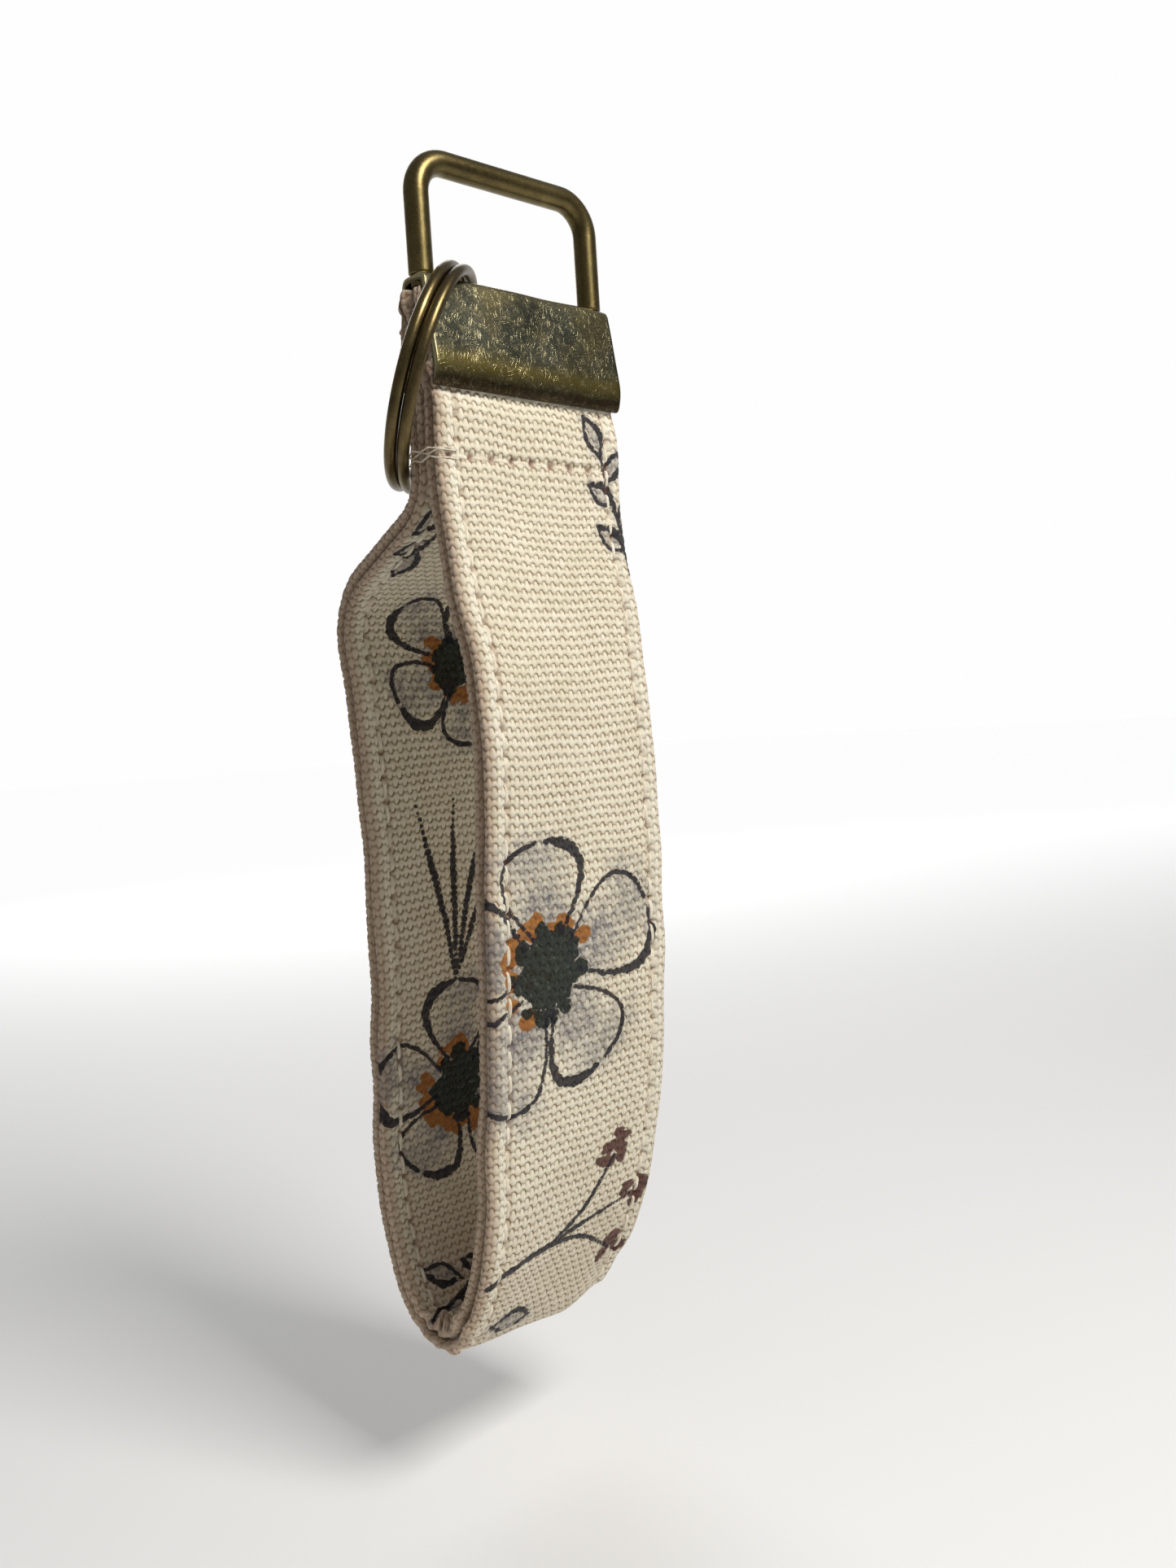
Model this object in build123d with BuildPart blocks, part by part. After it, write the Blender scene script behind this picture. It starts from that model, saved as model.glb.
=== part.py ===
from build123d import *
import math
import os

# Wristlet keychain: a canvas strap folded into a wrist loop, its two ends crimped in a
# folded brass clamp, a wire bail riveted through the top of the clamp, and a split key
# ring hanging over one end of the clamp.
#
# Frame: it hangs by its bail. Origin at the middle of the underside of the bail's top bar,
# +X along the width of the strap, +Y from the front leg of the loop to the back leg, +Z up.

# ---- driving dimensions, mm ------------------------------------------------------------
STRAP_WIDTH = 32.0            # 1 1/4 in hardware
STRAP_THICK = 2.9             # four plies of canvas and the interlining
LEG_GAP = 0.5                 # between the two legs where they run together
FOLD_PLY = 1.0                # depth of the fold that closes the right-hand edge
LINING_THICK = 0.4            # stiff interlining between the plies
SLIT_DEPTH = 0.9              # the interlining stops short of the open left-hand edge

SHEET = 0.9                   # clamp sheet metal
CLAMP_HEIGHT = 14.5
CLAMP_TOP_HALF = 2.35         # outer half depth at the top fold
CLAMP_BULGE_HALF = 4.25       # outer half depth at its widest
CLAMP_BULGE_DROP = 12.2       # how far below the top it is widest
CLAMP_LIP_HALF = 3.45         # outer half depth at the curled lip
TOOTH_COUNT = 6
TOOTH_HEIGHT = 0.9
TOOTH_RADIUS = 0.8
TOOTH_DROP = 10.9             # row of teeth below the clamp's top

BAIL_WIRE = 3.3
BAIL_HALF_WIDTH = 14.55       # to the wire's centre
BAIL_RISE = 15.2              # top bar's wire centre above the clamp's top
BAIL_CORNER = 4.6             # bend radius at the wire's centre
SHOULDER_GAP = 0.05           # under each leg's shoulder
TENON_RADIUS = 1.15
RIVET_RADIUS = 1.4
RIVET_HEIGHT = 0.6

RING_WIRE = 1.65
RING_OUTER = 30.5
RING_PITCH = 1.7              # centre to centre of the two turns
RING_CLIMB = 38.0             # degrees over which the wire climbs from one turn to the next
RING_CLIMB_END = 20.0         # where the climb ends, in degrees up from the rearmost point
RING_YAW = -44.0              # the ring's axis, turned from +X in the horizontal plane
RING_DIP = -20.4              # and dipped below it
RING_TOP = (-6.6, 0.1, 1.5)   # topmost wire centre of the inner turn, from the clamp's top

THREAD_WIDTH = 0.55
THREAD_HEIGHT = 0.2
STITCH_INSET = 3.0            # edge seams from the strap's edges
CROSS_SEAM_DROP = 23.2        # cross seam below the clamp's top
TRIM_DROP = 14.8              # threads are trimmed just under the clamp's lip

CLAMP_TOP = BAIL_WIRE / 2 - BAIL_RISE      # height of the clamp's top in this frame
LEG_Y = (STRAP_THICK + LEG_GAP) / 2        # middle of each leg inside the clamp

# The middle of the strap, from its front end down, round the fold and up to its back end:
# y, height from the clamp's top, and bend radius at that corner.
LOOP_ROUTE = [
    (-LEG_Y, -1.9, 0.0),
    (-LEG_Y, -31.0, 85.0),
    (-5.2, -52.0, 185.0),
    (-5.8, -78.0, 300.0),
    (-4.9, -98.0, 150.0),
    (-1.0, -121.5, 78.0),
    (12.0, -149.3, 4.6),
    (22.3, -131.0, 38.0),
    (22.1, -114.0, 90.0),
    (19.7, -88.0, 130.0),
    (20.3, -62.0, 170.0),
    (22.9, -38.6, 7.5),
    (LEG_Y, -29.2, 6.0),
    (LEG_Y, -1.9, 0.0),
]


def loop_path():
    """The route as straight runs joined by tangent arcs, in the YZ plane."""
    points = [(y, CLAMP_TOP + height) for y, height, _ in LOOP_ROUTE]
    radii = [radius for _, _, radius in LOOP_ROUTE[1:-1]]
    return FilletPolyline(*points, radius=radii)


def strap_section():
    """Plane across the start of the strap: local x is +X, local y is the outer face."""
    start = (0, -LEG_Y, CLAMP_TOP + LOOP_ROUTE[0][1])
    return Plane(origin=start, x_dir=(1, 0, 0), z_dir=(0, 0, -1))


def clamp_profile(inset):
    """Half of the clamp's closed outline, shrunk by inset, as (y, z) from its top middle."""
    return [
        (CLAMP_TOP_HALF - inset, -inset),
        (CLAMP_BULGE_HALF - inset, -CLAMP_BULGE_DROP),
        (CLAMP_LIP_HALF - inset, -CLAMP_HEIGHT),
    ]


def mirrored(points):
    """The same outline with its other half."""
    return points + [(-y, z) for y, z in reversed(points)]


STANDING = (Align.CENTER, Align.CENTER, Align.MIN)     # from its base upwards
HANGING = (Align.CENTER, Align.CENTER, Align.MAX)      # from its top downwards
CLAMP_PLANE = Plane(origin=(0, 0, CLAMP_TOP), x_dir=(0, 1, 0), z_dir=(1, 0, 0))

# ---- crimp clamp -----------------------------------------------------------------------
with BuildPart() as cavity:
    with BuildSketch(CLAMP_PLANE):
        with BuildLine():
            Polyline(*mirrored(clamp_profile(SHEET)), close=True)
        make_face()
    extrude(amount=STRAP_WIDTH, both=True)

with BuildPart() as crimp_clamp:
    with BuildSketch(CLAMP_PLANE) as shell:
        with BuildLine():
            Polyline(*mirrored(clamp_profile(0)), close=True)
        make_face()
        fillet(shell.vertices().group_by(Axis.X)[0], radius=1.6)
        fillet(shell.vertices().group_by(Axis.X)[-1], radius=1.6)
        fillet(shell.vertices().group_by(Axis.Y)[-1], radius=1.1)
    extrude(amount=STRAP_WIDTH / 2, both=True)
    add(cavity.part, mode=Mode.SUBTRACT)
    for side in (-1, 1):
        lean = math.atan2(CLAMP_BULGE_HALF - CLAMP_TOP_HALF, CLAMP_BULGE_DROP)
        wall_y = CLAMP_TOP_HALF - SHEET + TOOTH_DROP * math.tan(lean)
        root = Plane(
            origin=(0, side * (wall_y + 0.1), CLAMP_TOP - TOOTH_DROP),
            x_dir=(1, 0, 0),
            z_dir=(0, -side * math.cos(lean), math.sin(lean)),
        )
        with Locations(root):
            with GridLocations(STRAP_WIDTH / TOOTH_COUNT, 1, TOOTH_COUNT, 1):
                Cone(TOOTH_RADIUS, 0.1, TOOTH_HEIGHT + 0.1, align=STANDING)
    with Locations((-BAIL_HALF_WIDTH, 0, CLAMP_TOP), (BAIL_HALF_WIDTH, 0, CLAMP_TOP)):
        Hole(TENON_RADIUS, depth=2 * SHEET)
    lip_edges = crimp_clamp.edges().filter_by(Axis.X).group_by(Axis.Z)[0].sort_by(Axis.Y)
    fillet([lip_edges[0], lip_edges[-1]], radius=0.3)
crimp_clamp.part.label = "crimp_clamp"

# ---- bail ------------------------------------------------------------------------------
leg_foot = CLAMP_TOP + SHOULDER_GAP
with BuildPart() as bail_loop:
    with BuildLine(Plane.XZ) as bail_route:
        FilletPolyline(
            (-BAIL_HALF_WIDTH, leg_foot),
            (-BAIL_HALF_WIDTH, BAIL_WIRE / 2),
            (BAIL_HALF_WIDTH, BAIL_WIRE / 2),
            (BAIL_HALF_WIDTH, leg_foot),
            radius=BAIL_CORNER,
        )
    with BuildSketch(Plane.XY.offset(leg_foot)):
        with Locations((-BAIL_HALF_WIDTH, 0)):
            Circle(BAIL_WIRE / 2)
    sweep()
    fillet(bail_loop.edges().group_by(Axis.Z)[0], radius=0.35)
    tenon_length = SHEET + SHOULDER_GAP + RIVET_HEIGHT
    with Locations((-BAIL_HALF_WIDTH, 0, leg_foot), (BAIL_HALF_WIDTH, 0, leg_foot)):
        Cylinder(TENON_RADIUS, tenon_length, align=HANGING)
    with Locations(
        (-BAIL_HALF_WIDTH, 0, CLAMP_TOP - SHEET),
        (BAIL_HALF_WIDTH, 0, CLAMP_TOP - SHEET),
    ):
        Cylinder(RIVET_RADIUS, RIVET_HEIGHT, align=HANGING)
bail_loop.part.label = "bail_loop"

# ---- split key ring --------------------------------------------------------------------
# One wire: a turn in the inner plane, a short climb, and a turn in the outer plane.
yaw = math.radians(RING_YAW)
dip = math.radians(RING_DIP)
ring_axis = Vector(math.cos(dip) * math.cos(yaw), math.cos(dip) * math.sin(yaw), math.sin(dip))
ring_tangent = Vector(0, 0, 1).cross(ring_axis).normalized()
ring_up = ring_axis.cross(ring_tangent)
ring_radius = (RING_OUTER - RING_WIRE) / 2
ring_top = Vector(*RING_TOP) + Vector(0, 0, CLAMP_TOP)
ring_centre = ring_top - ring_up * ring_radius
RING_PLANE = Plane(origin=ring_centre, x_dir=ring_tangent, z_dir=ring_axis)


def on_ring(angle, offset):
    """Point on the wire's centre line, offset along the ring's axis."""
    turn = math.radians(angle)
    return (ring_radius * math.cos(turn), ring_radius * math.sin(turn), offset)


def ring_heading(angle):
    """Direction of the wire there."""
    turn = math.radians(angle)
    return (-math.sin(turn), math.cos(turn), 0)


TURN = 359.0 - RING_CLIMB     # each turn stops just short of the climb

with BuildPart() as split_key_ring:
    with BuildLine(RING_PLANE):
        first_turn = CenterArc((0, 0, -RING_PITCH), ring_radius, RING_CLIMB_END, TURN)
        climb_start = RING_CLIMB_END + TURN
        climb_end = RING_CLIMB_END + 360.0
        Spline(
            on_ring(climb_start, -RING_PITCH),
            on_ring((climb_start + climb_end) / 2, -RING_PITCH / 2),
            on_ring(climb_end, 0),
            tangents=(ring_heading(climb_start), ring_heading(climb_end)),
        )
        CenterArc((0, 0, 0), ring_radius, climb_end, TURN)
    with BuildSketch(Plane(origin=first_turn @ 0, z_dir=first_turn % 0)):
        Circle(RING_WIRE / 2)
    sweep()
split_key_ring.part.label = "split_key_ring"

# ---- strap: folded canvas strip and its interlining --------------------------------------
# Around the strap's ends, everything outside the clamp's cavity is cut away.
with BuildPart() as crimp_trim:
    with Locations((0, 0, CLAMP_TOP - CLAMP_HEIGHT)):
        Box(3 * STRAP_WIDTH, STRAP_WIDTH, 2 * CLAMP_HEIGHT, align=STANDING)
    add(cavity.part, mode=Mode.SUBTRACT)
    add(crimp_clamp.part)

with BuildPart() as canvas_strip:
    with BuildLine(Plane.YZ):
        loop_path()
    with BuildSketch(strap_section()):
        Rectangle(STRAP_WIDTH, STRAP_THICK)
        with Locations((-FOLD_PLY, 0)):
            Rectangle(STRAP_WIDTH, LINING_THICK, mode=Mode.SUBTRACT)
    sweep()
    add(crimp_trim.part, mode=Mode.SUBTRACT)
canvas_strip.part.label = "canvas_strip"

with BuildPart() as interlining:
    with BuildLine(Plane.YZ):
        loop_path()
    with BuildSketch(strap_section()):
        with Locations(((SLIT_DEPTH - FOLD_PLY) / 2, 0)):
            Rectangle(STRAP_WIDTH - FOLD_PLY - SLIT_DEPTH, LINING_THICK)
    sweep()
    add(crimp_trim.part, mode=Mode.SUBTRACT)
interlining.part.label = "interlining"

# ---- sewing threads ----------------------------------------------------------------------
# Each lockstitch seam is two threads: the needle thread lies on the outer face of the
# strip and the bobbin thread on the face inside the loop.
with BuildPart() as thread_trim:
    with Locations((0, 0, CLAMP_TOP - TRIM_DROP)):
        Box(2 * STRAP_WIDTH, STRAP_WIDTH, 2 * CLAMP_HEIGHT, align=STANDING)

seam_x = STRAP_WIDTH / 2 - STITCH_INSET
face_offset = (STRAP_THICK + THREAD_HEIGHT) / 2
edge_threads = []
for name, x, face in (
    ("left_edge_needle_thread", -seam_x, 1),
    ("left_edge_bobbin_thread", -seam_x, -1),
    ("right_edge_needle_thread", seam_x, 1),
    ("right_edge_bobbin_thread", seam_x, -1),
):
    with BuildPart() as edge_thread:
        with BuildLine(Plane.YZ):
            loop_path()
        with BuildSketch(strap_section()):
            with Locations((x, face * face_offset)):
                Rectangle(THREAD_WIDTH, THREAD_HEIGHT)
        sweep()
        add(thread_trim.part, mode=Mode.SUBTRACT)
    edge_thread.part.label = name
    edge_threads.append(edge_thread.part)

cross_threads = []
for name, side in (("cross_seam_needle_thread", -1), ("cross_seam_bobbin_thread", 1)):
    with BuildPart() as cross_thread:
        with Locations((0, side * (LEG_Y + face_offset), CLAMP_TOP - CROSS_SEAM_DROP)):
            Box(STRAP_WIDTH - 1.0, THREAD_HEIGHT, THREAD_WIDTH)
    cross_thread.part.label = name
    cross_threads.append(cross_thread.part)

# ---- write every piece -------------------------------------------------------------------
os.makedirs("parts", exist_ok=True)
pieces = [crimp_clamp.part, bail_loop.part, split_key_ring.part, canvas_strip.part, interlining.part]
for piece in pieces + edge_threads + cross_threads:
    export_step(piece, f"parts/{piece.label}.step")
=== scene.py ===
"""Wristlet keychain: canvas strap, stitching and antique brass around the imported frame.

Everything is in metres, in the frame's own axes: it hangs by its bail, with the origin at
the middle of the underside of the bail's top bar, +X along the strap's width, +Y from the
front leg of the loop to the back leg, and +Z up. Lengths below are given in millimetres
and scaled by MM, apart from those of the floor and the lights, which are in metres.
"""
import math

import bpy
import numpy as np
from mathutils import Matrix, Vector


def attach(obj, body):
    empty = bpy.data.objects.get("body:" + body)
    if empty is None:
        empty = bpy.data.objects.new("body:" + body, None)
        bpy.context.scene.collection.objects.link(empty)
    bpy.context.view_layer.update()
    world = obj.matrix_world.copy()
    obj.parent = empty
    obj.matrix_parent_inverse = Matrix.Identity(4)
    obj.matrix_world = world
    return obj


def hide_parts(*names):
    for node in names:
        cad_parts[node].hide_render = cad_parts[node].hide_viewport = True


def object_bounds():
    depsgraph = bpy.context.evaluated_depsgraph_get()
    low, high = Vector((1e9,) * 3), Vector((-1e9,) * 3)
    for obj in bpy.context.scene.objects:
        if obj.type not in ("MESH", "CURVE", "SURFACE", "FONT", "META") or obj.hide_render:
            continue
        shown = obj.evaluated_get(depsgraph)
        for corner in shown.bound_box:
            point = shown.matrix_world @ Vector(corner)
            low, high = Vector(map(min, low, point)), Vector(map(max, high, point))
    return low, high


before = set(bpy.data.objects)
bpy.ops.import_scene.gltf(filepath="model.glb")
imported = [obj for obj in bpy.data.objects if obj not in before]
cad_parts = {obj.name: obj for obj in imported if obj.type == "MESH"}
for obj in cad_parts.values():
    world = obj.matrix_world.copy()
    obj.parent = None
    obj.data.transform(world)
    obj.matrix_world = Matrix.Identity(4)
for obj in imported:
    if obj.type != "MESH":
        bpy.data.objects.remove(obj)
cad_low, cad_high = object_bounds()

MM = 0.001
ROOT = "strap_and_clamp"

# ---- camera ----
CAMERA_AT = (-117.0, -139.0, -73.0)
CAMERA_FORWARD = Vector((0.6702, 0.7411, -0.0400))
CAMERA_RIGHT = Vector((0.7386, -0.6713, -0.0627))
CAMERA_LENS = 30.32  # on a 36 mm sensor along the image's long side


def add_camera():
    """The camera that the picture is taken from."""
    data = bpy.data.cameras.new("camera")
    data.lens = CAMERA_LENS
    data.clip_start = 0.005
    camera = bpy.data.objects.new("camera", data)
    back = -CAMERA_FORWARD.normalized()
    right = (CAMERA_RIGHT - CAMERA_RIGHT.dot(back) * back).normalized()
    turn = Matrix((right, back.cross(right), back)).transposed().to_4x4()
    camera.matrix_world = Matrix.Translation(Vector(CAMERA_AT) * MM) @ turn
    bpy.context.scene.collection.objects.link(camera)
    bpy.context.scene.camera = camera


add_camera()

# ---- the strap's sizes, mm ----
HALF_WIDTH = 16.0
HALF_THICK = 1.45
LEG_Y = 1.7  # middle of each leg in the clamp
CLAMP_TOP = -13.55  # height of the clamp's top fold
CLAMP_HEIGHT = 14.5
CLAMP_SHEET = 0.9
CLAMP_TOP_HALF = 2.35  # half its depth at the top fold, the bulge and the lip
CLAMP_BULGE_HALF = 4.25
CLAMP_BULGE_DROP = 12.2
CLAMP_LIP_HALF = 3.45
CLAMP_END = 0.2  # rounding of the sheet's cut ends
STITCH_INSET = 3.0
STITCH_PITCH = 3.4
LEFT_SEAM_PHASE = 0.3  # shares of a stitch by which a seam's needle holes are shifted
CROSS_SEAM_PHASE = 0.2
CROSS_SEAM_DROP = 23.2
TRIM_DROP = 14.8  # above this the clamp hides the edge seams

# The strap's middle line: y, height from the clamp's top, bend radius.
LOOP_ROUTE = [
    (-LEG_Y, -1.9, 0.0),
    (-LEG_Y, -31.0, 85.0),
    (-5.2, -52.0, 185.0),
    (-5.8, -78.0, 300.0),
    (-4.9, -98.0, 150.0),
    (-1.0, -121.5, 78.0),
    (12.0, -149.3, 4.6),
    (22.3, -131.0, 38.0),
    (22.1, -114.0, 90.0),
    (19.7, -88.0, 130.0),
    (20.3, -62.0, 170.0),
    (22.9, -38.6, 7.5),
    (LEG_Y, -29.2, 6.0),
    (LEG_Y, -1.9, 0.0),
]

ROW_PITCH = 1.22  # cross threads of the canvas
COLUMN_PITCH = 0.77  # long threads of the canvas
ROW_STEPS = 5  # mesh rows to a cross thread
WEAVE_RELIEF = 0.26
ZIGZAG = 0.16  # how far the gap between two cross threads swings, in rows
ZIGZAG_STEEP = 1.7  # how square its swings are: 1 is a plain wave
GAP_REACH = 0.4  # from a gap's middle to the top of a thread, in rows
DIP_HALF, DIP_LENGTH = 0.26, 0.7  # of the dips between long threads, in columns and rows
DIP_EDGE = (-0.08, 0.06)  # the rows over which a dip sets in
rng = np.random.default_rng(7)


def waves(count, shortest, longest):
    """A smooth random field of two coordinates in mm, about -1 to 1."""
    size = np.exp(rng.uniform(math.log(shortest), math.log(longest), count))
    angle, phase = rng.uniform(0, 2 * math.pi, (2, count))
    kx, ky = 2 * math.pi * np.cos(angle) / size, 2 * math.pi * np.sin(angle) / size

    def field(x, y):
        total = np.zeros(np.broadcast(x, y).shape)
        for a, b, p in zip(kx, ky, phase):
            total += np.sin(a * x + b * y + p)
        return total / math.sqrt(count)

    return field


def bump(value, centre, spread):
    """A smooth hump of height 1."""
    return np.exp(-(((value - centre) / spread) ** 2))


def ramp(value, low, high):
    """0 below low, 1 above high, smooth between."""
    t = np.clip((value - low) / (high - low), 0, 1)
    return t * t * (3 - 2 * t)


def unit(vectors):
    """The vectors, each scaled to length 1."""
    return vectors / np.linalg.norm(vectors, axis=-1, keepdims=True)


def distances(line):
    """How far along a line each of its points is."""
    return np.r_[0, np.cumsum(np.linalg.norm(np.diff(line, axis=0), axis=1))]


# ---- the strap's middle line ----
def rounded_route(step):
    """Points along the route, its corners turned into arcs."""
    corners = [np.array(point[:2]) for point in LOOP_ROUTE]
    line = [corners[0]]
    for before, corner, after, (_, _, radius) in zip(
        corners, corners[1:], corners[2:], LOOP_ROUTE[1:-1]
    ):
        to_before, to_after = unit(before - corner), unit(after - corner)
        half_angle = math.acos(np.clip(to_before @ to_after, -1, 1)) / 2
        centre = corner + unit(to_before + to_after) * radius / math.sin(half_angle)
        ends = [corner + side * radius / math.tan(half_angle) for side in (to_before, to_after)]
        first, last = (math.atan2(*(end - centre)[::-1]) for end in ends)
        sweep = (last - first + math.pi) % (2 * math.pi) - math.pi
        for share in np.linspace(0, 1, max(3, int(abs(sweep) * radius / step))):
            angle = first + sweep * share
            line.append(centre + radius * np.array([math.cos(angle), math.sin(angle)]))
    line.append(corners[-1])
    line = np.array(line)
    along = distances(line)
    even = np.linspace(0, along[-1], int(along[-1] / step) + 1)
    return even, np.c_[np.interp(even, along, line[:, 0]), np.interp(even, along, line[:, 1])]


SOFTEN = 1.4  # mm over which the cloth eases its bends
SOFTEN_STEPS = 20  # points to each side that take part


def eased(line, spacing):
    """The line with its bends softened."""
    offsets = np.arange(-SOFTEN_STEPS, SOFTEN_STEPS + 1) * spacing
    kernel = bump(offsets, 0, SOFTEN * math.sqrt(2))
    kernel /= kernel.sum()
    ends = ((SOFTEN_STEPS, SOFTEN_STEPS), (0, 0))
    longer = np.pad(line, ends, mode="reflect", reflect_type="odd")
    return np.stack([np.convolve(values, kernel, "valid") for values in longer.T], axis=1)


ALONG, CENTRE = rounded_route(ROW_PITCH / ROW_STEPS)
CENTRE = eased(CENTRE, ALONG[1] - ALONG[0])
onward = unit(np.gradient(CENTRE, axis=0))
OUTWARD = np.c_[onward[:, 1], -onward[:, 0]]  # in y and z, away from the loop
DROP = -CENTRE[:, 1]  # below the clamp's top
TURN_AT = ALONG[np.argmin(CENTRE[:, 1])]  # where the strap turns at the bottom
FRONT_SHARE = 1 - ramp(ALONG, TURN_AT - 9, TURN_AT + 2)


CLAMP_HALVES = np.array([CLAMP_TOP_HALF, CLAMP_BULGE_HALF, CLAMP_LIP_HALF])


def cavity_half(drop):
    """Half the room inside the clamp at that drop below its top."""
    drops = [CLAMP_SHEET, CLAMP_BULGE_DROP, CLAMP_HEIGHT]
    return np.interp(drop, drops, CLAMP_HALVES - CLAMP_SHEET)


def outer_reach():
    """How far the outer face stands from the middle line, along the strap."""
    clamped = np.clip(cavity_half(DROP) - 0.06 - LEG_Y, None, HALF_THICK)
    release = ramp(DROP, CLAMP_HEIGHT - 0.2, CLAMP_HEIGHT + 3.2)
    lip = cavity_half(CLAMP_HEIGHT) - 0.06 - LEG_Y
    return np.where(DROP < CLAMP_HEIGHT, clamped, lip + (HALF_THICK + 0.1 - lip) * release)


# ---- the strap's section ----
FOLD_DEPTH = 1.3  # of the closed fold along the right edge
EDGE_ROLL = 0.67  # radius of the two rolled folds along the left edge
SLIT_HALF = 0.1
SLIT_DEPTH = 2.1


def half_section():
    """The outer half of the section, from the right fold to the bottom of the slit: x, n."""
    turn = np.linspace(0, math.pi / 2, 6)[:-1]
    fold = np.c_[HALF_WIDTH - FOLD_DEPTH * (1 - np.cos(turn)), HALF_THICK * np.sin(turn)]
    flat_from, flat_to = HALF_WIDTH - FOLD_DEPTH, -HALF_WIDTH + EDGE_ROLL
    flat = np.linspace(flat_from, flat_to, round((flat_from - flat_to) / COLUMN_PITCH * 3) + 1)
    face = np.c_[flat, np.full_like(flat, HALF_THICK)]
    roll = np.linspace(0, math.pi, 12)[1:]
    edge = np.c_[
        flat_to - EDGE_ROLL * np.sin(roll), HALF_THICK - EDGE_ROLL * (1 - np.cos(roll))
    ]
    edge[:, 1] += (SLIT_HALF - edge[-1, 1]) * (1 - np.cos(roll)) / 2
    depth = np.linspace(0, 1, 6)[1:]
    slit = np.c_[flat_to + (SLIT_DEPTH - EDGE_ROLL) * depth, SLIT_HALF * (1 - 0.6 * depth)]
    return np.vstack([fold, face, edge, slit])


def both_halves(values, sign=1):
    """The outer half's values, then the inner half's, from the slit back to the right fold."""
    return np.r_[values, sign * values[::-1][:-1]]


# The strap's grid has a row for each point along it and a column for each round its section.
HALF_SECTION = half_section()
HALF_COUNT = len(HALF_SECTION)
along_grid, x_grid = np.meshgrid(ALONG, both_halves(HALF_SECTION[:, 0]), indexing="ij")
n_grid = np.broadcast_to(both_halves(HALF_SECTION[:, 1], -1), along_grid.shape)
cloth_grid = np.broadcast_to(both_halves(distances(HALF_SECTION)), along_grid.shape)
outer_grid = np.broadcast_to(np.arange(2 * HALF_COUNT - 1) < HALF_COUNT, along_grid.shape) * 1.0
drop_grid = np.broadcast_to(DROP[:, None], along_grid.shape)

uneven = waves(14, 9, 40)
slit_gape = waves(8, 12, 60)
edge_wander = waves(8, 7, 30)
crumple = waves(8, 4, 9)


def seam_groove(x, along, drop, outer):
    """How far the stitching draws the cloth in, and the needle holes of the two kinds of seam."""
    across = bump(np.abs(x), HALF_WIDTH - STITCH_INSET, 0.5)
    phase = (along / STITCH_PITCH + np.where(x < 0, LEFT_SEAM_PHASE, 0.0)) % 1
    hole = bump(np.minimum(phase, 1 - phase) * STITCH_PITCH, 0, 0.34)
    groove = across * (0.27 + 0.1 * np.cos(2 * math.pi * phase))
    holes = bump(np.abs(x), HALF_WIDTH - STITCH_INSET, 0.32) * hole
    clear = ramp(drop, TRIM_DROP - 0.5, TRIM_DROP + 1.0)
    groove, holes = groove * clear, holes * clear
    seam = outer * bump(drop, CROSS_SEAM_DROP, 0.42)
    seam_phase = (x / STITCH_PITCH + CROSS_SEAM_PHASE) % 1
    seam_hole = bump(np.minimum(seam_phase, 1 - seam_phase) * STITCH_PITCH, 0, 0.6)
    inside = ramp(HALF_WIDTH - np.abs(x), 0.2, 1.2)
    groove = np.maximum(groove, inside * seam * 0.26)
    cross_holes = inside * outer * bump(drop, CROSS_SEAM_DROP + 0.1, 0.55) * seam_hole
    return groove + 0.3 * np.maximum(holes, cross_holes), holes, cross_holes


def weave(columns, rows):
    """Height of the plain weave: 0 in the zigzag gaps between its cross threads, to 1."""
    gap, side = np.round(rows), np.round(columns)
    swing = ZIGZAG_STEEP * np.cos(math.pi * (columns - 0.5 + gap))
    off = rows - gap + ZIGZAG * np.clip(swing, -1, 1)
    arch = np.sqrt(1 - (1 - np.clip(np.abs(off) / GAP_REACH, 0, 1)) ** 2)
    dip = np.clip(1 - np.abs(columns - side) / DIP_HALF, 0, 1)
    dip = dip * np.clip(1 - off / DIP_LENGTH, 0, 1) * ramp(off, *DIP_EDGE)
    return np.clip(arch - dip, 0, 1)


FINGER_PRESS = 2.3  # how far fingers have pushed the front leg's left edge
FINGERS = ((57, 15), (130, 13))  # their drops and reaches


def place(x, n, rows=slice(None)):
    """Points of the strap at x across and n out from its middle line: x, y and z in mm."""
    drop, front = DROP[rows, None], FRONT_SHARE[rows, None]
    y = CENTRE[rows, 0, None] + OUTWARD[rows, 0, None] * n
    z = CENTRE[rows, 1, None] + OUTWARD[rows, 1, None] * n
    x = x + 0 * y
    # The front leg's left edge bows forward where fingers have pressed it.
    left = ramp(-x, -6, HALF_WIDTH)
    y = y - front * FINGER_PRESS * left * sum(bump(drop, *finger) for finger in FINGERS)
    # The bottom bend's left end is a little higher and further forward than its right.
    bend = x / HALF_WIDTH * ramp(drop, 126, 144)
    y = y + 1.6 * front * bend
    z = z - 1.3 * bend
    # Its right corner is drawn up and in.
    corner = ramp(x, 5, HALF_WIDTH) * ramp(drop, 132, 144)
    z = z + 2.6 * corner
    x = x - 1.3 * corner
    # In the clamp's open end the squeezed plies stand out past the brass.
    held = 1 - ramp(drop, CLAMP_HEIGHT - 2, CLAMP_HEIGHT + 2)
    x = x - held * (0.8 - 0.55 * front) * ramp(-x, HALF_WIDTH - 3, HALF_WIDTH)
    x = x - held * 0.55 * crumple(drop * 1.6, n * 3) * ramp(-x, HALF_WIDTH - 2, HALF_WIDTH)
    x = x + 0.16 * edge_wander(drop + 60 * front, x * 0.3) * np.abs(x) / HALF_WIDTH
    return x, y, z + CLAMP_TOP


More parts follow.
